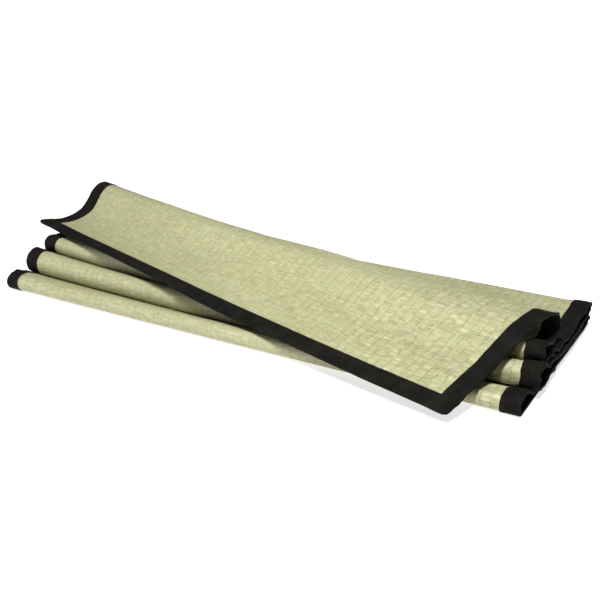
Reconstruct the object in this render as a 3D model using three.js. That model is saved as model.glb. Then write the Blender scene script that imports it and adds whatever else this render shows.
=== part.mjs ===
import * as THREE from "three";

// Rush mat folded back and forth into a low, uneven pile. Millimetres, +Z up.
// The rushes run along X and the folds lie along X. Seen in section the mat starts under the pile, goes
// forward, and turns back and forth up to a loose loop, the crest, from which the top flap comes
// forward and slides off to the left. Every table row gives the section at the left end, the middle
// and the right end, as places of the mat's middle surface: y back, z up.

// mat and edge tape
const matWidth = 900;
const matThickness = 2;
const tapeWidth = 25;
const tapeThickness = 0.8;
const gap = 0.3;

// offsets from the middle surface
const matFace = matThickness / 2;
const tapeInner = matFace + gap;
const tapeOuter = tapeInner + tapeThickness;
const tapeReach = gap + tapeThickness;

// moves the pile so that its bounding box is centred over the origin
const centreX = -19.85;
const centreY = 132.2;

// the lowest panel lies flat, its free edge this far back
const bottomZ = tapeOuter;
const bottomEdgeY = 262;

// each fold is a half round: how far it has slid along X, how far it reaches, its layers' heights
const folds = [
  {
    name: "front low", side: -1,
    left: { slide: 0, reach: -8.5, low: bottomZ, high: 28 },
    middle: { slide: 1, reach: -12.5, low: bottomZ, high: 24.5 },
    right: { slide: 3, reach: -13, low: bottomZ, high: 21 },
  },
  {
    name: "back low", side: 1,
    left: { slide: 0, reach: 302, low: 8, high: 20.5 },
    middle: { slide: 0, reach: 322, low: 7, high: 19 },
    right: { slide: 0, reach: 336, low: 7.5, high: 18.5 },
  },
  {
    name: "front middle", side: -1,
    left: { slide: 1, reach: 37, low: 18.6, high: 57.5 },
    middle: { slide: 5, reach: 38, low: 8.5, high: 36.5 },
    right: { slide: 9, reach: 43.5, low: 12.3, high: 43.3 },
  },
  {
    name: "back high", side: 1,
    left: { slide: 0, reach: 340, low: 28, high: 43.5 },
    middle: { slide: 0, reach: 340, low: 27, high: 42.5 },
    right: { slide: 0, reach: 332, low: 26, high: 40.5 },
  },
  {
    name: "front top", side: -1,
    left: { slide: 0, reach: 83, low: 47.5, high: 71 },
    middle: { slide: 0, reach: 83, low: 22.5, high: 55 },
    right: { slide: 1, reach: 83, low: 33.5, high: 57.5 },
  },
];

// places each panel passes on its way from the fold named to the next one
const sags = [
  { after: "front low", left: [16, 28], middle: [10, 21.5], right: [18, 21.5] },
  { after: "front low", left: [32, 22.5], middle: [26, 13.5], right: [34, 15] },
  { after: "front low", left: [48, 14.8], middle: [42, 7], right: [50, 8.3] },
  { after: "front low", left: [70, 12.2], middle: [62, 5.5], right: [68, 7.3] },
  { after: "front low", left: [190, 8.5], middle: [190, 5.2], right: [190, 7] },
  { after: "back low", left: [190, 14.2], middle: [190, 8.8], right: [190, 12.2] },
  { after: "back low", left: [110, 17.2], middle: [110, 8.5], right: [110, 12.1] },
  { after: "front middle", left: [70, 53.2], middle: [66, 31.8], right: [76, 37.5] },
  { after: "front middle", left: [84, 45.5], middle: [84, 23], right: [90, 29] },
  { after: "front middle", left: [102, 40.5], middle: [102, 17], right: [108, 25.5] },
  { after: "front middle", left: [190, 26], middle: [190, 14], right: [190, 19] },
  { after: "front middle", left: [270, 24], middle: [270, 20], right: [270, 20.5] },
  { after: "back high", left: [270, 42], middle: [270, 38], right: [270, 34] },
  { after: "back high", left: [190, 38], middle: [190, 25], right: [190, 26.5] },
  { after: "back high", left: [140, 43], middle: [140, 22], right: [140, 30] },
];

// the loose top: out of the last front fold, round the crest and down the flap to its free edge
const crestStart = "under the crest";
const flap = [
  { name: "under panel", left: [150, 65], middle: [143, 49], right: [130, 46] },
  { name: "under the crest", left: [207, 58], middle: [187, 40], right: [163, 37] },
  { name: "crest bottom", left: [227, 55], middle: [206, 42], right: [177, 42] },
  { name: "crest low back", left: [247, 57], middle: [221, 52], right: [179, 59] },
  { name: "crest back", left: [264, 67], middle: [227, 69], right: [165, 73.5] },
  { name: "crest high back", left: [275, 82], middle: [221, 86.5], right: [145, 80.5] },
  { name: "crest shoulder", left: [277, 102], middle: [206, 97.5], right: [125, 79.5] },
  { name: "crest top", left: [260, 134.5], middle: [170, 107.5], right: [87, 71] },
  { name: "crest front", left: [242, 138.5], middle: [152, 103.5], right: [69, 63] },
  { name: "slope", left: [226, 128.5], middle: [136, 92.5], right: [51, 56] },
  { name: "slope foot", left: [203, 98.5], middle: [106, 70], right: [15, 42] },
  { name: "flap", left: [169, 85], middle: [72, 57], right: [-21, 32] },
  { name: "free edge", left: [113, 89], middle: [15, 46.4], right: [-76, 14.5] },
];

// how far the loose top has slid along X at the crest and at its free edge, and the lowest panel at its own
const crestSlide = -8.3;
const freeEdgeSlide = -10.6;
const bottomSlide = -7;

// steps of each stretch (a panel's are between two neighbouring places), and the stations along the rushes
const hemSteps = 2;
const bottomSteps = 3;
const foldSteps = 8;
const panelSteps = 2;
const underSteps = 6;
const crestSteps = 24;
const samplesPerPlace = 16;
const stations = [0, tapeWidth, 150, 300, 450, 600, 750, matWidth - tapeWidth, matWidth];

// a fine polyline through places that slide along X, level where it leaves the first one
function smoothLine(places, levelSide, levelEnd) {
  const lead = 30;
  const points = places.map(([x, y, z]) => new THREE.Vector3(x, y, z));
  const before = points[0].clone().add(new THREE.Vector3(0, levelSide * lead, 0));
  const last = points.length;
  if (levelEnd) {
    points.push(points[last - 1].clone().add(new THREE.Vector3(0, -levelSide * lead, 0)));
  }
  return sampled([before, ...points], 1, last);
}

function sampled(points, first, last) {
  const curve = new THREE.CatmullRomCurve3(points, false, "centripetal");
  const spans = points.length - 1;
  const line = [];
  for (let k = first * samplesPerPlace; k <= last * samplesPerPlace; k += 1) {
    line.push(curve.getPoint(k / (spans * samplesPerPlace)));
  }
  return line;
}

// the half round of one fold, from its lower layer to its upper one
function foldLine(fold, end) {
  const { slide, reach, low, high } = fold[end];
  const radius = (high - low) / 2;
  const line = [];
  for (let k = 0; k <= foldSteps; k += 1) {
    const angle = -Math.PI / 2 + (Math.PI * k) / foldSteps;
    const y = reach - fold.side * radius * (1 - Math.cos(angle));
    line.push(new THREE.Vector3(slide, y, (low + high) / 2 + radius * Math.sin(angle)));
  }
  return line;
}

// places along a polyline at the distances asked for
function placesAt(line, distances) {
  const along = [0];
  for (let k = 1; k < line.length; k += 1) {
    along.push(along[k - 1] + line[k].distanceTo(line[k - 1]));
  }
  return distances.map((distance) => {
    let k = 1;
    while (k < line.length - 1 && along[k] < distance) {
      k += 1;
    }
    const part = (distance - along[k - 1]) / (along[k] - along[k - 1]);
    return line[k - 1].clone().lerp(line[k], part);
  });
}

function lineLength(line) {
  return line.slice(1).reduce((sum, point, k) => sum + point.distanceTo(line[k]), 0);
}

function evenSteps(from, to, steps) {
  return Array.from({ length: steps + 1 }, (_, k) => from + ((to - from) * k) / steps);
}

// places of a panel with the slide shared out evenly between its two folds
function slidPlaces(places, from, to) {
  return places.map(([y, z], k) => [from + ((to - from) * k) / (places.length - 1), y, z]);
}

// the whole section at one end, from the hidden free edge under the pile to the flap's free edge
function endSection(end) {
  const rows = [];
  const add = (points) => rows.push(...points.slice(rows.length > 0 ? 1 : 0));
  const foldEnds = folds.map((fold) => foldLine(fold, end));

  const firstFold = foldEnds[0][0];
  const bottom = [new THREE.Vector3(bottomSlide, bottomEdgeY, bottomZ), firstFold];
  add(placesAt(bottom, evenSteps(0, tapeWidth, hemSteps)));
  add(placesAt(bottom, evenSteps(tapeWidth, lineLength(bottom), bottomSteps)));

  folds.forEach((fold, index) => {
    add(foldEnds[index]);
    if (index + 1 < folds.length) {
      const passed = sags.filter((sag) => sag.after === fold.name).map((sag) => sag[end]);
      const start = foldEnds[index][foldSteps];
      const stop = foldEnds[index + 1][0];
      const places = [[start.y, start.z], ...passed, [stop.y, stop.z]];
      const line = smoothLine(slidPlaces(places, start.x, stop.x), fold.side, true);
      for (let first = 0; first + 1 < line.length; first += samplesPerPlace) {
        const stretch = line.slice(first, first + samplesPerPlace + 1);
        add(placesAt(stretch, evenSteps(0, lineLength(stretch), panelSteps)));
      }
    }
  });

  const lastFold = foldEnds[folds.length - 1][foldSteps];
  const crestIndex = flap.findIndex((row) => row.name === crestStart) + 1;
  const loose = [[lastFold.y, lastFold.z], ...flap.map((row) => row[end])];
  const places = [
    ...slidPlaces(loose.slice(0, crestIndex + 1), lastFold.x, crestSlide),
    ...slidPlaces(loose.slice(crestIndex), crestSlide, freeEdgeSlide).slice(1),
  ];
  const line = smoothLine(places, -1, false);
  const perPlace = (line.length - 1) / (places.length - 1);
  const toCrest = lineLength(line.slice(0, crestIndex * perPlace + 1));
  const total = lineLength(line);
  add(placesAt(line, evenSteps(0, toCrest, underSteps)));
  add(placesAt(line, evenSteps(toCrest, total - tapeWidth, crestSteps)));
  add(placesAt(line, evenSteps(total - tapeWidth, total, hemSteps)));
  return rows;
}

// the three sections set apart along X so that every rush keeps its length and the ends stay square
function surfaceRows() {
  const left = endSection("left");
  const middle = endSection("middle");
  const right = endSection("right");
  let drift = 0;
  return middle.map((place, k) => {
    const rise = right[k].clone().sub(left[k]).setX(0);
    const run = Math.sqrt(matWidth ** 2 - rise.lengthSq());
    if (k > 0) {
      drift -= place.clone().sub(middle[k - 1]).dot(rise) / run;
    }
    const at = (point, x) => point.clone().add(new THREE.Vector3(x + drift - centreX, -centreY, 0));
    return { left: at(left[k], -run / 2), middle: at(place, 0), right: at(right[k], run / 2) };
  });
}

const rows = surfaceRows();
const lastRow = rows.length - 1;

// a place on the middle surface: row k, and the distance in along the rushes from the left end
function onSurface(k, distance) {
  const u = distance / matWidth;
  const { left, middle, right } = rows[k];
  return new THREE.Vector3()
    .addScaledVector(left, (1 - u) * (1 - 2 * u))
    .addScaledVector(middle, 4 * u * (1 - u))
    .addScaledVector(right, u * (2 * u - 1));
}

// a place off the surface: lifted along its normal, and moved on past a free edge by `beyond`
function place(k, distance, lift, beyond = 0) {
  const here = onSurface(k, distance);
  const rush = onSurface(k, distance + 1).sub(here).normalize();
  const back = k > 0 ? here.clone().sub(onSurface(k - 1, distance)).normalize() : null;
  const on = k < lastRow ? onSurface(k + 1, distance).sub(here).normalize() : null;
  const step = on ?? back;
  const along = (back ?? on).clone().add(step).normalize();
  const normal = rush.clone().cross(along).normalize();
  const outward = k === 0 ? along.clone().negate() : along;
  const miter = 1 / along.dot(step);
  return here.addScaledVector(normal, lift * miter).addScaledVector(outward, beyond);
}

// a closed solid from its corners and four-sided faces, turned right side out
function solid(name, corners, faces, color, roughness) {
  const fan = (face) => face.slice(2).map((_, k) => [face[0], face[k + 1], face[k + 2]]);
  const triangles = faces.flatMap(fan);
  const volume = triangles.reduce((sum, [a, b, c]) => {
    return sum + corners[a].dot(corners[b].clone().cross(corners[c])) / 6;
  }, 0);
  const index = triangles.flatMap(([a, b, c]) => (volume < 0 ? [a, c, b] : [a, b, c]));
  const geometry = new THREE.BufferGeometry();
  geometry.setFromPoints(corners);
  geometry.setIndex(index);
  geometry.computeVertexNormals();
  const material = new THREE.MeshStandardMaterial({ color, roughness, metalness: 0 });
  const mesh = new THREE.Mesh(geometry, material);
  mesh.name = name;
  return mesh;
}

// faces of a tube between neighbouring rings of corners, all rings alike and numbered in order; a face
// is cut the other way where `turned` says so, which keeps neighbouring pieces' facets side by side
function tubeFaces(ringCount, ringSize, turned) {
  const faces = [];
  for (let r = 0; r + 1 < ringCount; r += 1) {
    for (let k = 0; k < ringSize; k += 1) {
      const next = (k + 1) % ringSize;
      const a = r * ringSize;
      const b = a + ringSize;
      const face = [a + k, a + next, b + next, b + k];
      faces.push(turned(k) ? [...face.slice(1), face[0]] : face);
    }
  }
  return faces;
}

// the woven panel: a thin solid, each ring running out along one face and back along the other
function rushMat() {
  const corners = [];
  for (let k = 0; k <= lastRow; k += 1) {
    stations.forEach((station) => corners.push(place(k, station, matFace)));
    [...stations].reverse().forEach((station) => corners.push(place(k, station, -matFace)));
  }
  const ringSize = 2 * stations.length;
  const faces = tubeFaces(rows.length, ringSize, (k) => k >= stations.length);
  [0, lastRow * ringSize].forEach((base) => {
    for (let k = 0; k + 1 < stations.length; k += 1) {
      const opposite = ringSize - 1 - k;
      const cap = [base + k, base + k + 1, base + opposite - 1, base + opposite];
      faces.push(base === 0 ? cap.reverse() : cap);
    }
  });
  return solid("rush_mat", corners, faces, 0xc9c39a, 0.8);
}

// cuts a channel's end, or a thin strip, into four-sided faces between its two facing chains of corners
function stripFaces(base, size) {
  const faces = [];
  for (let k = 0; k + 1 < size / 2; k += 1) {
    faces.push([base + k, base + k + 1, base + size - 2 - k, base + size - 1 - k]);
  }
  return faces;
}

// the tape round one end edge: a channel along every row, shut past the hidden free edge and butted
// against the flap's tape
function endBinding(name, edge, inward) {
  const inner = edge + inward * tapeWidth;
  const outer = edge - inward * tapeReach;
  const pocket = edge - inward * gap;
  const ring = (k, beyond) => [
    place(k, inner, tapeOuter, beyond),
    place(k, outer, tapeOuter, beyond),
    place(k, outer, -tapeOuter, beyond),
    place(k, inner, -tapeOuter, beyond),
    place(k, inner, -tapeInner, beyond),
    place(k, pocket, -tapeInner, beyond),
    place(k, pocket, tapeInner, beyond),
    place(k, inner, tapeInner, beyond),
  ];
  const lastRing = lastRow - hemSteps;
  const startRing = ring(0, gap);
  const endRing = ring(lastRing, -gap);
  const middleRings = rows.slice(1, lastRing).map((_, k) => ring(k + 1, 0));
  const corners = [startRing, ...middleRings, endRing].flat();
  const ringSize = startRing.length;
  const faces = tubeFaces(lastRing + 1, ringSize, (k) => (k % 4 < 2) === (inward > 0));
  faces.push(...stripFaces(lastRing * ringSize, ringSize));
  faces.push(...shutFaces(corners, 0, ringSize, ring(0, tapeReach)).map((face) => face.reverse()));
  return solid(name, corners, faces, 0x1c1b1a, 0.85);
}

// shuts a channel at one end: the pocket's end, an outer wall, and the faces between the channel and it
function shutFaces(corners, base, ringSize, wallRing) {
  const wall = corners.length;
  const half = ringSize / 2;
  corners.push(...wallRing.slice(0, half));
  const faces = [...stripFaces(base + half, half), ...stripFaces(wall, half)];
  for (let k = 0; k + 1 < half; k += 1) {
    faces.push([base + k, base + k + 1, wall + k + 1, wall + k]);
  }
  faces.push([base + half - 1, base + half, base + ringSize - 1, base, wall, wall + half - 1]);
  return faces;
}

// the tape round one free edge: either shut past both ends of the mat, or butted between the end tapes
function freeEdgeBinding(name, edgeRow, inward, fullWidth) {
  const hem = Array.from({ length: hemSteps + 1 }, (_, k) => edgeRow + inward * k);
  const start = fullWidth ? -gap : tapeWidth + gap;
  const first = Math.max(start, 0);
  const between = stations.filter((station) => station > first && station < matWidth - first);
  const along = [start, ...between, matWidth - start];
  const ring = (station) => [
    ...[...hem].reverse().map((k) => place(k, station, tapeOuter)),
    place(edgeRow, station, tapeOuter, tapeReach),
    place(edgeRow, station, -tapeOuter, tapeReach),
    ...hem.map((k) => place(k, station, -tapeOuter)),
    ...[...hem].reverse().map((k) => place(k, station, -tapeInner)),
    place(edgeRow, station, -tapeInner, gap),
    place(edgeRow, station, tapeInner, gap),
    ...hem.map((k) => place(k, station, tapeInner)),
  ];
  const rings = along.map(ring);
  const corners = rings.flat();
  const ringSize = rings[0].length;
  const sideSize = hem.length + 1;
  const faces = tubeFaces(rings.length, ringSize, (k) => {
    const outward = Math.floor(k / sideSize) % 2 === 0;
    return outward === (inward > 0);
  });
  const lastBase = (rings.length - 1) * ringSize;
  const shutStart = () => shutFaces(corners, 0, ringSize, ring(-tapeReach));
  const shutEnd = () => shutFaces(corners, lastBase, ringSize, ring(matWidth + tapeReach));
  const startFaces = fullWidth ? shutStart() : stripFaces(0, ringSize);
  const endFaces = fullWidth ? shutEnd() : stripFaces(lastBase, ringSize);
  faces.push(...startFaces.map((face) => face.reverse()), ...endFaces);
  return solid(name, corners, faces, 0x1c1b1a, 0.85);
}

const group = new THREE.Group();
group.name = "folded_rush_mat";
group.add(rushMat());
group.add(endBinding("binding_left", 0, 1));
group.add(endBinding("binding_right", matWidth, -1));
group.add(freeEdgeBinding("binding_flap", lastRow, -1, true));
group.add(freeEdgeBinding("binding_bottom", 0, 1, false));

export default group;
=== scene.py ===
# Folded rush mat: a woven rush panel with black cotton edge tape, folded back and forth into a low pile
# with its loose top pulled forward and askew. Metres, +Z up, the rushes along X.
import bmesh
import bpy
import math
from bisect import bisect_right
from mathutils import Matrix, Vector, noise


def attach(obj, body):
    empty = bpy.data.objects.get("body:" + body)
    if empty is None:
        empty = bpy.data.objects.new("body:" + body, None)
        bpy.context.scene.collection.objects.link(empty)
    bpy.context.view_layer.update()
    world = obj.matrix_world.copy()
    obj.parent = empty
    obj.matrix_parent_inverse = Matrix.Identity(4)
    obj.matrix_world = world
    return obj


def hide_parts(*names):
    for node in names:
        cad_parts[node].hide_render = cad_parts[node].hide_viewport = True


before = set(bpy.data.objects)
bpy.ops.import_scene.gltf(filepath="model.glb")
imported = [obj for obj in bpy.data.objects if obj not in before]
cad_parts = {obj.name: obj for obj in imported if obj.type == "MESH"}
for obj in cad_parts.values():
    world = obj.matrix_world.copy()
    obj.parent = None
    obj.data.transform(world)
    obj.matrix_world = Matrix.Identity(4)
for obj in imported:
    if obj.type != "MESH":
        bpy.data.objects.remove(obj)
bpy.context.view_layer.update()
mm = 0.001
sections = ("left", "middle", "right")

mat = {
    "width": 900 * mm,
    "thickness": 2 * mm,
    "centre": Vector((-19.85, 132.2, 0)) * mm,  # brings the folded pile over the origin
    "warpPitch": 13.7 * mm,
    "columnsPerWarp": 2,
    "waveHeight": 1.1 * mm,     # soft unevenness of the whole pile
    "waveLength": 150 * mm,
    "rippleHeight": 0.385 * mm,
    "rippleLength": 55.5 * mm,
    "ripplePlace": Vector((7, 3, 1)),           # where the ripples are read in the noise
    "settledBelow": 4 * mm,     # nothing is uneven under this height
    "unevenAbove": 16 * mm,     # and everything is above this one
    "cornerRadius": {"left": 3 * mm, "right": 8 * mm},
}

# the sewn ends are drawn up into small uneven puckers, each read at its own layer of the noise
ends = {
    "left": {"height": 1.8 * mm, "layer": 3},
    "right": {"height": 4.0 * mm, "layer": 8},
    "reach": 42 * mm,
    "puckers": [{"length": 15 * mm, "depth": 60 * mm, "share": 1, "layer": 0},
                {"length": 6.75 * mm, "depth": 40 * mm, "share": 0.8, "layer": 20}],
    "sideways": {"share": 0.8, "layer": 40},    # the same, along the rushes
    "calmTop": 0.215,           # the flap's last stretch, in metres, is calmer
    "calmRun": 30 * mm,
    "calming": 0.75,
}

# the folds in section, in millimetres: y back, z up, slide along X
lowestLayer = 2.1
bottomEdgeY = 262
frontSquareness = 0.6       # under 1, the lower half of a front fold stands more upright than round
folds = [
    {"name": "front low", "side": -1,
     "left": {"slide": 0, "reach": -8.5, "low": lowestLayer, "high": 28},
     "middle": {"slide": 1, "reach": -12.5, "low": lowestLayer, "high": 24.5},
     "right": {"slide": 3, "reach": -13, "low": lowestLayer, "high": 21}},
    {"name": "back low", "side": 1,
     "left": {"slide": 0, "reach": 302, "low": 8, "high": 20.5},
     "middle": {"slide": 0, "reach": 322, "low": 7, "high": 19},
     "right": {"slide": 0, "reach": 336, "low": 7.5, "high": 18.5}},
    {"name": "front middle", "side": -1,
     "left": {"slide": 1, "reach": 37, "low": 18.6, "high": 57.5},
     "middle": {"slide": 5, "reach": 38, "low": 8.5, "high": 36.5},
     "right": {"slide": 9, "reach": 43.5, "low": 12.3, "high": 43.3}},
    {"name": "back high", "side": 1,
     "left": {"slide": 0, "reach": 340, "low": 28, "high": 43.5},
     "middle": {"slide": 0, "reach": 340, "low": 27, "high": 42.5},
     "right": {"slide": 0, "reach": 332, "low": 26, "high": 40.5}},
    {"name": "front top", "side": -1,
     "left": {"slide": 0, "reach": 83, "low": 47.5, "high": 71},
     "middle": {"slide": 0, "reach": 83, "low": 22.5, "high": 55},
     "right": {"slide": 1, "reach": 83, "low": 33.5, "high": 57.5}},
]

# places each panel passes on its way from the fold named to the next one
sags = [
    {"after": "front low", "left": (16, 28), "middle": (10, 21.5), "right": (18, 21.5)},
    {"after": "front low", "left": (32, 22.5), "middle": (26, 13.5), "right": (34, 15)},
    {"after": "front low", "left": (48, 14.8), "middle": (42, 7), "right": (50, 8.3)},
    {"after": "front low", "left": (70, 12.2), "middle": (62, 5.5), "right": (68, 7.3)},
    {"after": "front low", "left": (190, 8.5), "middle": (190, 5.2), "right": (190, 7)},
    {"after": "back low", "left": (190, 14.2), "middle": (190, 8.8), "right": (190, 12.2)},
    {"after": "back low", "left": (110, 17.2), "middle": (110, 8.5), "right": (110, 12.1)},
    {"after": "front middle", "left": (70, 53.2), "middle": (66, 31.8), "right": (76, 37.5)},
    {"after": "front middle", "left": (84, 45.5), "middle": (84, 23), "right": (90, 29)},
    {"after": "front middle", "left": (102, 40.5), "middle": (102, 17), "right": (108, 25.5)},
    {"after": "front middle", "left": (190, 26), "middle": (190, 14), "right": (190, 19)},
    {"after": "front middle", "left": (270, 24), "middle": (270, 20), "right": (270, 20.5)},
    {"after": "back high", "left": (270, 42), "middle": (270, 38), "right": (270, 34)},
    {"after": "back high", "left": (190, 38), "middle": (190, 25), "right": (190, 26.5)},
    {"after": "back high", "left": (140, 43), "middle": (140, 22), "right": (140, 30)},
]

# the loose top: out of the last front fold, round the crest and down the flap to its free edge
crestStart = 2      # row of the flap table, counted from one, where the crest begins
flap = [
    {"name": "under panel", "left": (150, 65), "middle": (143, 49), "right": (130, 46)},
    {"name": "under the crest", "left": (207, 58), "middle": (187, 40), "right": (163, 37)},
    {"name": "crest bottom", "left": (227, 55), "middle": (206, 42), "right": (177, 42)},
    {"name": "crest low back", "left": (247, 57), "middle": (221, 52), "right": (179, 59)},
    {"name": "crest back", "left": (264, 67), "middle": (227, 69), "right": (165, 73.5)},
    {"name": "crest high back", "left": (275, 82), "middle": (221, 86.5), "right": (145, 80.5)},
    {"name": "crest shoulder", "left": (277, 102), "middle": (206, 97.5), "right": (125, 79.5)},
    {"name": "crest top", "left": (260, 134.5), "middle": (170, 107.5), "right": (87, 71)},
    {"name": "crest front", "left": (242, 138.5), "middle": (152, 103.5), "right": (69, 63)},
    {"name": "slope", "left": (226, 128.5), "middle": (136, 92.5), "right": (51, 56)},
    {"name": "slope foot", "left": (203, 98.5), "middle": (106, 70), "right": (15, 42)},
    {"name": "flap", "left": (169, 85), "middle": (72, 57), "right": (-21, 32)},
    {"name": "free edge", "left": (113, 89), "middle": (15, 46.4), "right": (-76, 14.5)},
]
crestSlide = -8.3
freeEdgeSlide = -10.6
bottomSlide = -7

# soft troughs (-) and ridges (+) along the rushes: metres from the flap's free edge, and along the rushes
creases = [
    {"name": "foot trough", "fromEdge": 0.098, "start": 0.62, "stop": 0.93, "rise": -0.0014, "spread": 0.01},
    {"name": "slope ridge", "fromEdge": 0.122, "start": 0.70, "stop": 0.93, "rise": 0.0008, "spread": 0.012},
    {"name": "flap ripple", "fromEdge": 0.052, "start": 0.05, "stop": 0.42, "rise": 0.0008, "spread": 0.014},
    {"name": "crest ridge", "fromEdge": 0.208, "start": 0.40, "stop": 0.66, "rise": 0.0026, "spread": 0.018},
    {"name": "edge lift", "fromEdge": 0.0, "start": 0.08, "stop": 0.47, "rise": 0.0042, "spread": 0.018},
    {"name": "edge ripple", "fromEdge": 0.016, "start": 0.30, "stop": 0.58, "rise": 0.0009, "spread": 0.012},
]
creaseFade = 0.12           # metres over which a crease fades in and out along the rushes
creaseReach = 3             # spreads, past which it no longer counts

# rows of mesh along each stretch of the section, and samples of the curves they are laid out on
rowSteps = {"bottom": 18, "fold": 14, "panel": 5, "under": 8, "crest": 64}
samplesPerPlace = 16
samplesPerFold = 32
levelRun = 30               # millimetres from a panel's end to the place that keeps it level there


def catmullRom(points, first, last, steps):
    # centripetal curve through the points, from number `first` to number `last`
    ahead = points[-1] * 2 - points[-2]
    points = points + [ahead]
    line = []
    for k in range(first, last):
        p0, p1, p2, p3 = points[k - 1:k + 3]
        t1 = (p1 - p0).length ** 0.5
        t2 = t1 + (p2 - p1).length ** 0.5
        t3 = t2 + (p3 - p2).length ** 0.5
        for s in range(steps):
            t = t1 + (t2 - t1) * s / steps
            a1 = p0.lerp(p1, t / t1)
            a2 = p1.lerp(p2, (t - t1) / (t2 - t1))
            a3 = p2.lerp(p3, (t - t2) / (t3 - t2))
            b1 = a1.lerp(a2, t / t2)
            b2 = a2.lerp(a3, (t - t1) / (t3 - t1))
            line.append(b1.lerp(b2, (t - t1) / (t2 - t1)))
    line.append(points[last].copy())
    return line


def smoothLine(places, side, levelEnd):
    # level where it leaves its first place and, if asked, where it meets its last
    lead = Vector((0, side * levelRun, 0))
    points = [places[0] + lead] + places
    last = len(points) - 1
    if levelEnd:
        points.append(places[-1] - lead)
    return catmullRom(points, 1, last, samplesPerPlace)


def foldLine(fold, end):
    # half a round, from its low side to its high one
    spec = fold[end]
    radius = (spec["high"] - spec["low"]) / 2
    line = []
    for k in range(samplesPerFold + 1):
        angle = math.pi * (k / samplesPerFold - 0.5)
        out = max(math.cos(angle), 0)
        if fold["side"] < 0 and angle < 0:
            out = out ** frontSquareness
        y = spec["reach"] - fold["side"] * radius * (1 - out)
        z = (spec["low"] + spec["high"]) / 2 + radius * math.sin(angle)
        line.append(Vector((spec["slide"], y, z)))
    return line


def slidPlaces(places, start, stop):
    # the places of a section, with an even slide along X
    last = len(places) - 1
    return [Vector((start + (stop - start) * k / last, y, z)) for k, (y, z) in enumerate(places)]


def evenPlaces(line, steps):
    # places at equal distances along the line
    along = [0]
    for a, b in zip(line, line[1:]):
        along.append(along[-1] + (b - a).length)
    places = []
    for k in range(steps + 1):
        distance = along[-1] * k / steps
        i = min(bisect_right(along, distance), len(line) - 1)
        part = (distance - along[i - 1]) / (along[i] - along[i - 1])
        places.append(line[i - 1].lerp(line[i], part))
    return places


def endSection(end):
    # one section of the whole mat, from its hidden free edge to the flap's
    rounds = [foldLine(fold, end) for fold in folds]
    rows = evenPlaces([Vector((bottomSlide, bottomEdgeY, lowestLayer)), rounds[0][0]], rowSteps["bottom"])
    for k, fold in enumerate(folds):
        rows += evenPlaces(rounds[k], rowSteps["fold"])[1:]
        if k + 1 < len(folds):
            start, stop = rounds[k][-1], rounds[k + 1][0]
            passed = [sag[end] for sag in sags if sag["after"] == fold["name"]]
            places = [(start.y, start.z)] + passed + [(stop.y, stop.z)]
            line = smoothLine(slidPlaces(places, start.x, stop.x), fold["side"], True)
            for stretch in range(len(places) - 1):
                part = line[stretch * samplesPerPlace:(stretch + 1) * samplesPerPlace + 1]
                rows += evenPlaces(part, rowSteps["panel"])[1:]
    start = rounds[-1][-1]
    loose = [(start.y, start.z)] + [row[end] for row in flap]
    places = slidPlaces(loose[:crestStart + 1], start.x, crestSlide)
    places += slidPlaces(loose[crestStart:], crestSlide, freeEdgeSlide)[1:]
    line = smoothLine(places, -1, False)
    crest = crestStart * samplesPerPlace
    rows += evenPlaces(line[:crest + 1], rowSteps["under"])[1:]
    rows += evenPlaces(line[crest:], rowSteps["crest"])[1:]
    return rows


def surfaceRows():
    # the rushes keep their length and the end edges stay square to them, which sets the drift along X
    left, middle, right = (endSection(end) for end in sections)
    rows = []
    drift = 0
    for k, place in enumerate(middle):
        rise = right[k] - left[k]
        rise.x = 0
        run = math.sqrt((mat["width"] / mm) ** 2 - rise.length_squared)
        if k > 0:
            drift -= (place - middle[k - 1]).dot(rise) / run
        half = Vector((run / 2, 0, 0))
        shift = Vector((drift, 0, 0)) - mat["centre"] / mm
        rows.append([(left[k] + shift - half) * mm, (place + shift) * mm, (right[k] + shift + half) * mm])
    return rows


matRows = surfaceRows()
developed = [0]             # how far along the flat mat each row lies
for before, after in zip(matRows, matRows[1:]):
    developed.append(developed[-1] + (after[1] - before[1]).length)
matLength = developed[-1]
print(f"mat section: {len(matRows)} rows, {matLength:.3f} m long")


def plainPoint(along, across):
    # on the smooth surface, `along` from the hidden free edge and `across` from the rushes' left ends;
    # both may run past the mat
    k = min(max(bisect_right(developed, along), 1), len(matRows) - 1)
    part = (along - developed[k - 1]) / (developed[k] - developed[k - 1])
    u = across / mat["width"]
    weights = ((1 - u) * (1 - 2 * u), 4 * u * (1 - u), u * (2 * u - 1))     # a parabola through the sections
    point = Vector((0, 0, 0))
    for weight, before, after in zip(weights, matRows[k - 1], matRows[k]):
        point += before.lerp(after, part) * weight
    return point


def smoothStep(low, high, value):
    t = min(max((value - low) / (high - low), 0), 1)
    return t * t * (3 - 2 * t)


def puckered(along, across, layer=0):
    rise = 0
    for end, inset in (("left", across), ("right", mat["width"] - across)):
        fade = 1 - smoothStep(0, ends["reach"], inset)
        if fade > 0:
            for pucker in ends["puckers"]:
                depth = ends[end]["layer"] + pucker["layer"] + layer
                place = Vector((along / pucker["length"], inset / pucker["depth"], depth))
                rise += noise.noise(place) * pucker["share"] * ends[end]["height"] * fade
    calmStart = matLength - ends["calmTop"]
    return rise * (1 - ends["calming"] * smoothStep(calmStart - ends["calmRun"], calmStart, along))


def creased(along, across):
    rise = 0
    for crease in creases:
        offset = (matLength - along - crease["fromEdge"]) / crease["spread"]
        if abs(offset) < creaseReach:
            fade = smoothStep(crease["start"], crease["start"] + creaseFade, across)
            fade *= 1 - smoothStep(crease["stop"] - creaseFade, crease["stop"], across)
            rise += crease["rise"] * fade * math.exp(-offset * offset)
    return rise


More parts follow.
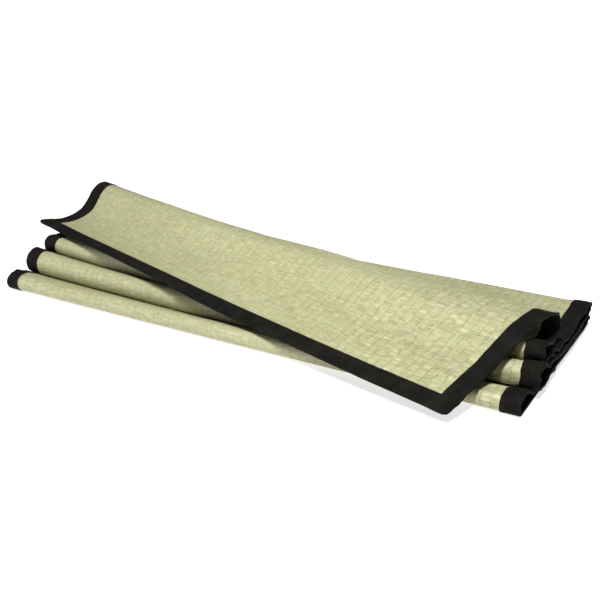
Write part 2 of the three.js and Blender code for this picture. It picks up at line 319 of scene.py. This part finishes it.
def roundedCorner(along, across):
    # near a corner of the flat mat, the places a square corner would have move onto a rounded one
    radius = mat["cornerRadius"]["right" if across > mat["width"] / 2 else "left"]
    alongIn = radius - min(along, matLength - along)
    acrossIn = radius - min(across, mat["width"] - across)
    if alongIn <= 0 or acrossIn <= 0:
        return along, across
    pull = max(alongIn, acrossIn) / math.hypot(alongIn, acrossIn) - 1
    alongSide = 1 if along > matLength / 2 else -1
    acrossSide = 1 if across > mat["width"] / 2 else -1
    return along + alongSide * alongIn * pull, across + acrossSide * acrossIn * pull


def surfaceFrame(along, across):
    # a place on the uneven middle surface, its normal and the direction along the section
    reach = 1.5 * mm
    along, across = roundedCorner(along, across)
    point = plainPoint(along, across)
    rush = (plainPoint(along, across + reach) - plainPoint(along, across - reach)).normalized()
    ahead = plainPoint(along + reach, across) - plainPoint(along - reach, across)
    normal = rush.cross(ahead).normalized()
    wave = noise.noise(point / mat["waveLength"]) * mat["waveHeight"]
    wave += noise.noise(point / mat["rippleLength"] + mat["ripplePlace"]) * mat["rippleHeight"]
    free = smoothStep(mat["settledBelow"], mat["unevenAbove"], point.z)
    rise = puckered(along, across) - creased(along, across)      # on the flap the normal points down
    shift = puckered(along, across, ends["sideways"]["layer"]) * ends["sideways"]["share"]
    point = point + Vector((0, 0, wave * free)) + (normal * rise + rush * shift) * free
    return point, normal, ahead.normalized()


def foldedSheet(name, columns, rowPlaces, place):
    # a flat grid whose corners keep their flat place as UV, then go where `place` puts them
    bm = bmesh.new()
    bmesh.ops.create_grid(bm, x_segments=len(columns) - 1, y_segments=len(rowPlaces) - 1, size=0.5)
    uvLayer = bm.loops.layers.uv.new("flat")
    spots = {}
    for vert in bm.verts:
        column = round((vert.co.x + 0.5) * (len(columns) - 1))
        row = round((vert.co.y + 0.5) * (len(rowPlaces) - 1))
        spots[vert] = (column, row)
    for face in bm.faces:
        face.smooth = True
        for loop in face.loops:
            column, row = spots[loop.vert]
            loop[uvLayer].uv = (columns[column], rowPlaces[row])
    for vert, (column, row) in spots.items():
        vert.co = place(column, row)
    return bmToObject(bm, name)


def addObject(name, data):
    thing = bpy.data.objects.new(name, data)
    bpy.context.scene.collection.objects.link(thing)
    return thing


def bmToObject(bm, name):
    mesh = bpy.data.meshes.new(name)
    bm.to_mesh(mesh)
    bm.free()
    return addObject(name, mesh)


def giveThickness(piece, thickness):
    solidify = piece.modifiers.new("thickness", "SOLIDIFY")
    solidify.thickness = thickness
    solidify.offset = 0
    solidify.use_even_offset = True


def makeRushPanel():
    warps = round(mat["width"] / mat["warpPitch"])
    count = warps * mat["columnsPerWarp"]
    columns = [mat["width"] * k / count for k in range(count + 1)]

    def place(column, row):
        return surfaceFrame(developed[row], columns[column])[0]

    piece = foldedSheet("rushPanel", columns, developed, place)
    giveThickness(piece, mat["thickness"])
    return piece


rushPanel = makeRushPanel()
print("rush panel made")

tape = {
    "width": 25 * mm,
    "thickness": 0.75 * mm,
    "lift": 1.65 * mm,          # its middle above the mat's middle
    "columns": (25, 24.4, 22, 19, 17.5, 13, 8.5, 4, 1),         # millimetres in from the mat's edge
    "wrapAngles": (75, 50, 25, 0, -25, -50, -75),
    "reach": 0.9 * mm,          # how far it wraps round past the mat's edge
    "turnUnder": 6 * mm,        # doubled strip along its inner edge
    "turnUnderLift": 0.2 * mm,
    "turnUnderStep": 1.5 * mm,
    "innerDip": 0.25 * mm,      # its inner edge is sewn down
    "puckerHeight": 0.13 * mm,
    "puckerLength": 9 * mm,
    "puckerShift": 0.13,        # from one column to the next
    "flapRows": 160,
    "leastRow": 1 * mm,
    "gap": 0.3 * mm,
    "tuck": 6 * mm,             # how far an end tape runs in under the flap's tape
    "cornerLift": 0.75 * mm,    # which lies over it
    "cornerFrom": 24 * mm,      # and comes down from it between these places
    "cornerTo": 29 * mm,
    "wider": 0.17,              # the left tape's share of extra width down the flap's slope
    "widerFrom": 0.035,
    "widerTo": 0.165,
}
closing = {-1.2: 0.12, -0.95: 0.6, -0.4: 0.95}      # millimetres past an end: how far the tape is still open


def tapeProfile():
    # (inward from the mat's edge, lift) from the top inner edge round to the bottom inner one
    doubledFrom = tape["width"] - tape["turnUnder"]
    top = []
    for inward in tape["columns"]:
        doubled = smoothStep(doubledFrom - tape["turnUnderStep"], doubledFrom, inward * mm)
        top.append((inward * mm, tape["lift"] + tape["turnUnderLift"] * doubled))
    innerEdge, lift = top[0]
    top[0] = (innerEdge, lift - tape["innerDip"])
    angles = [math.radians(angle) for angle in tape["wrapAngles"]]
    wrap = [(-tape["reach"] * math.cos(angle), tape["lift"] * math.sin(angle)) for angle in angles]
    return top + wrap + [(inward, -lift) for inward, lift in reversed(top)]


profile = tapeProfile()
profileLength = [0]
for (inward, lift), (nextInward, nextLift) in zip(profile, profile[1:]):
    profileLength.append(profileLength[-1] + math.hypot(nextInward - inward, nextLift - lift))


def drawnUp(lift, distance, edge, column):
    # the sewing draws the tape up a little, unevenly
    place = Vector((distance / tape["puckerLength"], edge + column * tape["puckerShift"], 0.5))
    return lift + math.copysign(noise.noise(place) * tape["puckerHeight"], lift)


def widened(inwardDistance, along):
    # the left tape was folded over unevenly: it is widest down the flap's slope
    fromEdge = matLength - along
    middle = (tape["widerFrom"] + tape["widerTo"]) / 2
    share = smoothStep(tape["widerFrom"], middle, fromEdge)
    share *= 1 - smoothStep(middle, tape["widerTo"], fromEdge)
    return inwardDistance * (1 + tape["wider"] * share)


def liftedPoint(along, across, lift):
    point, normal, _ = surfaceFrame(along, across)
    point += normal * lift
    point.z = max(point.z, tape["thickness"] / 2)
    return point


def makeEndTape(name, edge, inward):
    # over one end of the rushes, from the closed end at the hidden free edge to under the flap's tape
    last = matLength - tape["width"] + tape["tuck"]
    alongs = [past * mm for past in closing]
    alongs += [along for along in developed if along < last - tape["leastRow"]] + [last]
    opened = list(closing.values()) + [1] * (len(alongs) - len(closing))

    def place(column, row):
        inwardDistance, lift = profile[column]
        if inward > 0 and inwardDistance > 0:
            inwardDistance = widened(inwardDistance, alongs[row])
        lift = drawnUp(lift * opened[row], alongs[row], edge, column)
        return liftedPoint(alongs[row], edge + inward * inwardDistance, lift)

    piece = foldedSheet(name, profileLength, alongs, place)
    giveThickness(piece, tape["thickness"])
    return piece


def makeFreeEdgeTape(name, edge, inward, fullWidth):
    # over a free edge: the flap's tape is the full width and closed, the hidden one ends at the end tapes
    start = 0 if fullWidth else tape["width"] + tape["gap"]
    steps = tape["flapRows"]
    acrosses = [start + (mat["width"] - 2 * start) * k / steps for k in range(steps + 1)]
    opened = [1] * len(acrosses)
    if fullWidth:
        shut = [past * mm for past in closing]
        acrosses = shut + acrosses + [mat["width"] - past for past in reversed(shut)]
        opened = list(closing.values()) + opened + list(reversed(closing.values()))

    def place(column, row):
        inwardDistance, lift = profile[column]
        fromEnd = min(acrosses[row], mat["width"] - acrosses[row])
        over = 1 - smoothStep(tape["cornerFrom"], tape["cornerTo"], fromEnd) if fullWidth else 0
        lift += math.copysign(tape["cornerLift"] * over, lift) * min(1, abs(lift) / tape["lift"])
        lift = drawnUp(lift * opened[row], acrosses[row], edge, column)
        return liftedPoint(edge + inward * inwardDistance, acrosses[row], lift)

    piece = foldedSheet(name, profileLength, acrosses, place)
    giveThickness(piece, tape["thickness"])
    return piece


tapeLeft = makeEndTape("tapeLeft", 0, 1)
tapeRight = makeEndTape("tapeRight", mat["width"], -1)
tapeFlap = makeFreeEdgeTape("tapeFlap", matLength, -1, True)
tapeBottom = makeFreeEdgeTape("tapeBottom", 0, 1, False)
tapes = [tapeLeft, tapeRight, tapeFlap, tapeBottom]
print("edge tape made")

stitches = {
    "pitch": 3.6 * mm,
    "length": 2.7 * mm,
    "thread": 0.42 * mm,
    "fromInnerEdge": 2.2 * mm,
    "fromCorner": 3 * mm,
    "above": 0.36 * mm,         # over the tape's middle
    "sides": 6,                 # round one stitch
    "rings": 4,
}


def stitchPlace(along, across, side, direction):
    # where one thread lies on the tape, on either face of the mat
    reach = 1 * mm
    thread = stitches["thread"] / 2
    lift = tape["lift"] + tape["turnUnderLift"] + stitches["above"]
    centre, normal, ahead = surfaceFrame(along, across)
    if direction == "across":
        ahead = (plainPoint(along, across + reach) - plainPoint(along, across - reach)).normalized()
    over = (normal - ahead * normal.dot(ahead)).normalized()
    turn = Matrix((ahead, over.cross(ahead), over)).transposed().to_4x4()
    centre += normal * lift * side
    centre.z = max(centre.z, thread)
    return Matrix.Translation(centre) @ turn @ Matrix.Diagonal((stitches["length"] / 2, thread, thread, 1))


def stitchRow(start, stop):
    # even places for whole stitches between two ends
    count = int((stop - start) / stitches["pitch"])
    return [start + (stop - start) * (k + 0.5) / count for k in range(count)]


def stitchPlaces():
    inset = tape["width"] - stitches["fromInnerEdge"]
    for side in (1, -1):
        for along in stitchRow(stitches["fromCorner"], matLength - inset):
            yield stitchPlace(along, widened(inset, along), side, "along")
            yield stitchPlace(along, mat["width"] - inset, side, "along")
        for across in stitchRow(inset, mat["width"] - inset):
            yield stitchPlace(matLength - inset, across, side, "across")
            yield stitchPlace(inset, across, side, "across")


def makeStitches():
    # one small thread, copied to every place in the rows
    bm = bmesh.new()
    bmesh.ops.create_uvsphere(bm, u_segments=stitches["sides"], v_segments=stitches["rings"], radius=1)
    threadVerts = [vert.co.copy() for vert in bm.verts]
    threadFaces = [[vert.index for vert in face.verts] for face in bm.faces]
    bm.free()
    verts = []
    faces = []
    for place in stitchPlaces():
        faces += [[len(verts) + index for index in face] for face in threadFaces]
        verts += [place @ vert for vert in threadVerts]
    mesh = bpy.data.meshes.new("tapeStitches")
    mesh.from_pydata(verts, [], faces)
    mesh.shade_smooth()
    return addObject("tapeStitches", mesh)


tapeStitches = makeStitches()
print(f"stitches made: {len(tapeStitches.data.polygons)} faces")


class Wire:
    # one shader socket; sums and products of wires add their Math nodes
    def __init__(self, tree, socket):
        self.tree = tree
        self.socket = socket

    def maths(self, operation, *values):
        return addNode(self.tree, "ShaderNodeMath", {"operation": operation}, dict(enumerate(values)))

    def __add__(self, other):
        return self.maths("ADD", self, other)

    def __radd__(self, other):
        return self.maths("ADD", other, self)

    def __sub__(self, other):
        return self.maths("SUBTRACT", self, other)

    def __rsub__(self, other):
        return self.maths("SUBTRACT", other, self)

    def __mul__(self, other):
        return self.maths("MULTIPLY", self, other)

    def __rmul__(self, other):
        return self.maths("MULTIPLY", other, self)

    def __truediv__(self, other):
        return self.maths("DIVIDE", self, other)

    def __mod__(self, other):
        return self.maths("FLOORED_MODULO", self, other)

    def floor(self):
        return self.maths("FLOOR", self)

    def fraction(self):
        return self.maths("FRACT", self)

    def cosine(self):
        return self.maths("COSINE", self)

    def size(self):
        return self.maths("ABSOLUTE", self)

    def atMost(self, limit):
        return self.maths("MINIMUM", self, limit)


def addNode(tree, kind, settings=None, values=None, output=0):
    # the settings go in first, then the values or wires of the sockets
    node = tree.nodes.new(kind)
    for key, value in (settings or {}).items():
        if key == "stops":
            ramp = node.color_ramp
            while len(ramp.elements) < len(value):
                ramp.elements.new(0.5)
            for element, (position, colour) in zip(ramp.elements, value):
                element.position = position
                element.color = (*colour, 1)
        else:
            setattr(node, key, value)
    for key, value in (values or {}).items():
        socket = node.inputs[key]
        if isinstance(value, Wire):
            tree.links.new(value.socket, socket)
        else:
            socket.default_value = value
    return Wire(tree, node.outputs[output]) if node.outputs else None


def remap(tree, value, low, high, newLow=0.0, newHigh=1.0, kind="LINEAR"):
    return addNode(tree, "ShaderNodeMapRange", {"interpolation_type": kind},
                   {"Value": value, "From Min": low, "From Max": high, "To Min": newLow, "To Max": newHigh})


def mixColour(tree, factor, a, b):
    return addNode(tree, "ShaderNodeMix", {"data_type": "RGBA"}, {0: factor, 6: a, 7: b}, output=2)


def combine(tree, x, y, z=0.0):
    return addNode(tree, "ShaderNodeCombineXYZ", None, {"X": x, "Y": y, "Z": z})


def cloud(tree, across, along, spec):
    # soft noise on the flat piece, as wide and as rough as its finish says
    acrossCycles, alongCycles, detail, roughness = spec
    return addNode(tree, "ShaderNodeTexNoise", {"noise_dimensions": "2D"},
                   {"Vector": combine(tree, across * acrossCycles, along * alongCycles), "Scale": 1.0,
                    "Detail": detail, "Roughness": roughness})


def scatter(tree, x, y, z):
    # one random tone for each whole place
    return addNode(tree, "ShaderNodeTexWhiteNoise", {"noise_dimensions": "3D"},
                   {"Vector": combine(tree, x, y, z)})


def bumpNormal(tree, strength, height):
    return addNode(tree, "ShaderNodeBump", None, {"Strength": strength, "Distance": 1.0, "Height": height})


def newMaterial(name):
    material = bpy.data.materials.new(name)
    material.use_nodes = True
    material.node_tree.nodes.clear()
    return material, material.node_tree


def flatPlace(tree):
    # where a place lies on the flat piece: across it, along it
    uv = addNode(tree, "ShaderNodeUVMap", {"uv_map": "flat"})
    across = addNode(tree, "ShaderNodeSeparateXYZ", None, {0: uv})
    return across, Wire(tree, across.socket.node.outputs[1])


def finishMaterial(tree, sockets):
    shader = addNode(tree, "ShaderNodeBsdfPrincipled", None, sockets)
    addNode(tree, "ShaderNodeOutputMaterial", None, {"Surface": shader})


rushFinish = {
    "rushPitch": 2.3 * mm,
    "rushSwing": 1.8,           # in rushes: how far they drift off straight, slowly and quickly
    "rushSway": 1.5,
    "warpSwing": 0.2,           # in warp pitches
    "warpWander": 0.34,
    "blockRushes": 3,           # rushes in a small block of one tone, and its shift in warp pitches
    "blockShift": 0.37,
    "pulledRushes": 2,          # rushes that a warp draws in alike
    # clouds: cycles a metre along the rushes, cycles a metre along the mat, detail, roughness
    "drift": (9, 9, 2.0, 0.5),
    "sway": (16, 170, 2.0, 0.5),
    "wander": (22, 90, 2.0, 0.5),
    "dash": (110, 400, 2.0, 0.6),
    "streak": (26, 1400, 3.0, 0.6),
    "crossing": (250, 60, 3.0, 0.6),
    "patch": (5, 10, 3.0, 0.5),
    # the weave is faint up to the first place along the rushes and clear from the second on
    "clearPlaces": (0.50, 0.88),
    "clearness": (0.68, 1.45),
    # how much each counts in the tone
    "middleTone": 0.52,
    "floatShare": 0.22,
    "rushShare": 0.06,
    "dashShare": 0.60,
    "blockShare": 0.09,
    # painted shade: each float lighter at its middle and darker where it dips under a warp
    "paintedBowShade": 0.06,
    "streakShare": 0.40,
    "crossingShare": 0.60,
    "patchShare": 0.25,
    "tones": [(0.0, (0.13, 0.125, 0.060)), (0.3, (0.248, 0.244, 0.126)), (0.55, (0.316, 0.310, 0.176)),
              (0.8, (0.383, 0.376, 0.232)), (1.0, (0.54, 0.53, 0.38))],
    # some floats take a tone of their own, some a painted highlight: the colour, the chance past which it
    # starts, and its most
    "green": ((0.275, 0.310, 0.125, 1), 0.55, 0.30),
    "straw": ((0.42, 0.385, 0.190, 1), 0.82, 0.40),
    # a painted highlight on a few floats
    "paintedHighlight": ((0.56, 0.55, 0.31, 1), 0.94, 0.40),
    # painted shade for the gaps between the rushes
    "paintedGapShade": (0.110, 0.108, 0.040, 1),
    "gapFrom": 0.66,            # share of the way from a rush's middle to its edge
    "gapShadeDepth": (0.02, 0.90),
    # the warp's own colour mixed with painted shade in its groove
    "warpThreadAndShade": (0.150, 0.145, 0.075, 1),
    "warpLine": (0.020, 0.062),         # half widths of its core and of its soft edge, in warp pitches
    "warpDepth": (0.06, 0.88),
    "rushBulge": 0.42 * mm,
    "floatBulge": 0.22 * mm,
    "warpGroove": 0.20 * mm,
    "streakHeight": 0.16 * mm,
    "bump": 0.7,
    "roughness": (0.36, 0.62),
    "specular": 0.5,
}


def rushMaterial():
    material, tree = newMaterial("rushWeave")
    across, along = flatPlace(tree)
    spec = rushFinish

    # which rush and which warp a place is on, and how far across each
    drift = cloud(tree, across, along, spec["drift"]) - 0.5
    sway = cloud(tree, across, along, spec["sway"]) - 0.5
    wander = cloud(tree, across, along, spec["wander"]) - 0.5
    rushPlace = along / spec["rushPitch"] + drift * spec["rushSwing"] + sway * spec["rushSway"]
    warpPlace = across / mat["warpPitch"] + wander * spec["warpWander"] + drift * spec["warpSwing"]
    rush = rushPlace.floor()
    warp = warpPlace.floor()
    toEdge = (rushPlace.fraction() - 0.5).size() * 2
    toEnd = (warpPlace.fraction() - 0.5).size() * 2
    bow = 1 - toEnd * toEnd
    clearness = remap(tree, across, *spec["clearPlaces"], *spec["clearness"])

    # tone: floats between two warps, whole rushes, short dashes, small blocks and a painted shade that
    # darkens each float where it dips under a warp, all clearer to the right, then streaks, crossing warps
    # and broad patches
    floatTone = scatter(tree, warp, rush, 1.5)
    rushTone = scatter(tree, rush, 4.5, 2.5)
    block = (rushPlace / spec["blockRushes"]).floor()
    blockTone = scatter(tree, (warpPlace + spec["blockShift"]).floor(), block, 6.5)
    dash = cloud(tree, across, along, spec["dash"])
    streak = cloud(tree, across, along, spec["streak"])
    crossing = cloud(tree, across, along, spec["crossing"])
    patch = cloud(tree, across, along, spec["patch"])
    grain = ((floatTone - 0.5) * spec["floatShare"] + (rushTone - 0.5) * spec["rushShare"]
             + (dash - 0.5) * spec["dashShare"] + (blockTone - 0.5) * spec["blockShare"]
             + (bow - 0.6) * spec["paintedBowShade"])
    tone = (spec["middleTone"] + grain * clearness + (streak - 0.5) * spec["streakShare"]
            + (crossing - 0.5) * spec["crossingShare"] + (patch - 0.5) * spec["patchShare"])
    colour = addNode(tree, "ShaderNodeValToRGB", {"stops": spec["tones"]}, {0: tone})

    def tintedOrHighlighted(name, layer):
        tintOrHighlight, chance, most = spec[name]
        return remap(tree, scatter(tree, warp, rush, layer), chance, 1.0, 0.0, most), tintOrHighlight

    greener, greenTone = tintedOrHighlighted("green", 3.5)
    colour = mixColour(tree, greener, colour, greenTone)
    strawier, strawTone = tintedOrHighlighted("straw", 7.5)
    colour = mixColour(tree, strawier, colour, strawTone)
    # painted highlight on some floats, brightest at a float's middle and where the weave is clearest
    highlighted, highlightColour = tintedOrHighlighted("paintedHighlight", 11.5)
    colour = mixColour(tree, highlighted * bow * clearness, colour, highlightColour)

    # painted shade in the gaps between the rushes, each gap with its own depth of shade
    gapShadeTone = scatter(tree, warp, (rushPlace + 0.5).floor(), 5.5)
    gapShadeDepth = remap(tree, gapShadeTone, 0.50, 1.0, *spec["gapShadeDepth"]) * clearness.atMost(1.0)
    gap = remap(tree, toEdge, spec["gapFrom"], 1.0, 0.0, 1.0, "SMOOTHSTEP") * gapShadeDepth
    colour = mixColour(tree, gap, colour, spec["paintedGapShade"])

    # and the warps, pulled in across them: the warp's own darker line and painted shade in the groove it
    # pulls
    toWarp = ((warpPlace + 0.5).fraction() - 0.5).size()
    pulled = (rushPlace / spec["pulledRushes"]).floor()
    warpTone = scatter(tree, (warpPlace + 0.5).floor(), pulled, 8.5)
    warpDepth = remap(tree, warpTone, 0.25, 1.0, *spec["warpDepth"]) * (clearness * clearness).atMost(1.0)
    warpLine = remap(tree, toWarp, *spec["warpLine"], 1.0, 0.0, "SMOOTHSTEP") * warpDepth
    colour = mixColour(tree, warpLine, colour, spec["warpThreadAndShade"])

    height = ((1 - toEdge * toEdge) * spec["rushBulge"] + bow * floatTone * spec["floatBulge"]
              - warpLine * spec["warpGroove"] + (streak - 0.5) * spec["streakHeight"])
    finishMaterial(tree, {
        "Base Color": colour,
        "Roughness": remap(tree, streak, 0.25, 0.75, *spec["roughness"]),
        "Specular IOR Level": spec["specular"],
        "Normal": bumpNormal(tree, spec["bump"], height),
    })
    return material


tapeFinish = {
    "yarnPitch": 0.55 * mm,
    "colour": (0.0046, 0.0043, 0.0036, 1),
    "wornColour": (0.0112, 0.0104, 0.0084, 1),
    # clouds: cycles a metre across the tape, cycles a metre along it, detail, roughness
    "slub": (900, 60, 3.0, 0.5),
    "dust": (45, 45, 4.0, 0.5),
    "crease": (150, 110, 3.0, 0.5),
    "dustWear": 0.6,
    "slubWear": 0.4,
    "wear": (0.42, 0.68, 0.0, 0.8),     # where it starts and is full in the clouds, its least and most
    "yarnHeight": 0.13 * mm,
    "slubHeight": 0.10 * mm,
    "creaseHeight": 0.7 * mm,
    "bump": 0.6,
    "roughness": (0.72, 0.90),
    "specular": 0.07,
}


def tapeMaterial():
    material, tree = newMaterial("edgeTapeCotton")
    across, along = flatPlace(tree)
    spec = tapeFinish
    x = across / spec["yarnPitch"]
    y = along / spec["yarnPitch"]
    over = (x.floor() + y.floor()) % 2
    warpYarn = ((x.fraction() - 0.5) * math.pi).cosine()
    weftYarn = ((y.fraction() - 0.5) * math.pi).cosine()
    weave = over * warpYarn + (1 - over) * weftYarn
    slub = cloud(tree, across, along, spec["slub"])
    dust = cloud(tree, across, along, spec["dust"])
    crease = cloud(tree, across, along, spec["crease"])
    worn = remap(tree, dust * spec["dustWear"] + slub * spec["slubWear"], *spec["wear"])
    height = weave * spec["yarnHeight"] + slub * spec["slubHeight"] + crease * spec["creaseHeight"]
    finishMaterial(tree, {
        "Base Color": mixColour(tree, worn, spec["colour"], spec["wornColour"]),
        "Roughness": remap(tree, slub, 0.3, 0.7, *spec["roughness"]),
        "Specular IOR Level": spec["specular"],
        "Normal": bumpNormal(tree, spec["bump"], height),
    })
    return material


threadFinish = {
    "colour": (0.0045, 0.0042, 0.0038, 1),
    "fuzzColour": (0.0160, 0.0150, 0.0130, 1),
    "fuzzCycles": 2600,         # a metre
    "fuzzHeight": 0.1 * mm,
    "bump": 0.5,
    "roughness": (0.55, 0.80),
    "specular": 0.2,
}


def threadMaterial():
    material, tree = newMaterial("sewingThread")
    spec = threadFinish
    place = addNode(tree, "ShaderNodeTexCoord", output="Object")
    fuzz = addNode(tree, "ShaderNodeTexNoise", None,
                   {"Vector": place, "Scale": spec["fuzzCycles"], "Detail": 2.0})
    finishMaterial(tree, {
        "Base Color": mixColour(tree, remap(tree, fuzz, 0.45, 0.7), spec["colour"], spec["fuzzColour"]),
        "Roughness": remap(tree, fuzz, 0.3, 0.7, *spec["roughness"]),
        "Specular IOR Level": spec["specular"],
        "Normal": bumpNormal(tree, spec["bump"], fuzz * spec["fuzzHeight"]),
    })
    return material


rushPanel.data.materials.append(rushMaterial())
tapeStitches.data.materials.append(threadMaterial())
cotton = tapeMaterial()
for piece in tapes:
    piece.data.materials.append(cotton)
print("materials made")

replaced = [
    (rushPanel, "rush_mat", "rush_weave"),
    (tapeLeft, "binding_left", "edge_tape"),
    (tapeRight, "binding_right", "edge_tape"),
    (tapeFlap, "binding_flap", "edge_tape"),
    (tapeBottom, "binding_bottom", "edge_tape"),
]
for piece, node, slot in replaced:
    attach(piece, "root")
    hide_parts(node)
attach(tapeStitches, "root")
tapes + [tapeStitches]

studio = {
    "floorColour": (0.60, 0.60, 0.60, 1),
    "floorGlow": 0.68,          # a lit table, which keeps the paper pale in the shade
    "floorRoughness": 0.9,
    "floorSpecular": 0.1,
    "floorSize": 60,
    "worldColour": (1.0, 1.0, 1.0, 1),
    "worldStrength": 0.24,
    "keyStrength": 1.34,        # a broad sun
    "keyFrom": Vector((0.0, -0.5, 1.0)),
    "keyAngle": 12,
    "fillPower": 29,            # watts
    "fillPlace": Vector((0.52, -0.70, 1.35)),
    "fillSize": 0.25,
    "lowPower": 9,
    "lowPlace": Vector((-1.3, -1.3, 0.35)),
    "lowSize": 0.8,
}

camera = {
    "lens": 51.6,
    "sensor": 36,
    "place": Vector((0.7319, -1.0752, 0.487)),
    "azimuth": 31.53,           # degrees
    "elevation": 19.82,
}


def makeFloor():
    bm = bmesh.new()
    bmesh.ops.create_grid(bm, x_segments=1, y_segments=1, size=studio["floorSize"])
    piece = bmToObject(bm, "studioFloor")
    material = bpy.data.materials.new("studioPaper")
    material.use_nodes = True
    shader = material.node_tree.nodes["Principled BSDF"]
    shader.inputs["Base Color"].default_value = studio["floorColour"]
    shader.inputs["Roughness"].default_value = studio["floorRoughness"]
    shader.inputs["Specular IOR Level"].default_value = studio["floorSpecular"]
    shader.inputs["Emission Color"].default_value = (1, 1, 1, 1)
    shader.inputs["Emission Strength"].default_value = studio["floorGlow"]
    piece.data.materials.append(material)


def addLight(name, kind, place, strength, size):
    # aimed at the origin; a sun's size is its angle
    light = bpy.data.lights.new(name, kind)
    light.energy = strength
    if kind == "SUN":
        light.angle = math.radians(size)
    else:
        light.shape = "DISK"
        light.size = size
    lamp = addObject(name, light)
    lamp.location = place
    lamp.rotation_euler = (-place).to_track_quat("-Z", "Y").to_euler()


def makeStudio():
    makeFloor()
    addLight("keyLight", "SUN", studio["keyFrom"], studio["keyStrength"], studio["keyAngle"])
    addLight("fillLight", "AREA", studio["fillPlace"], studio["fillPower"], studio["fillSize"])
    addLight("lowLight", "AREA", studio["lowPlace"], studio["lowPower"], studio["lowSize"])
    world = bpy.data.worlds.new("studioAir")
    world.use_nodes = True
    background = world.node_tree.nodes["Background"]
    background.inputs["Color"].default_value = studio["worldColour"]
    background.inputs["Strength"].default_value = studio["worldStrength"]
    bpy.context.scene.world = world
    bpy.context.scene.view_settings.view_transform = "Standard"
    data = bpy.data.cameras.new("studioCamera")
    data.lens = camera["lens"]
    data.sensor_width = camera["sensor"]
    body = addObject("studioCamera", data)
    body.location = camera["place"]
    body.rotation_euler = (math.radians(90 - camera["elevation"]), 0, math.radians(camera["azimuth"]))
    bpy.context.scene.camera = body


makeStudio()
print("studio made")
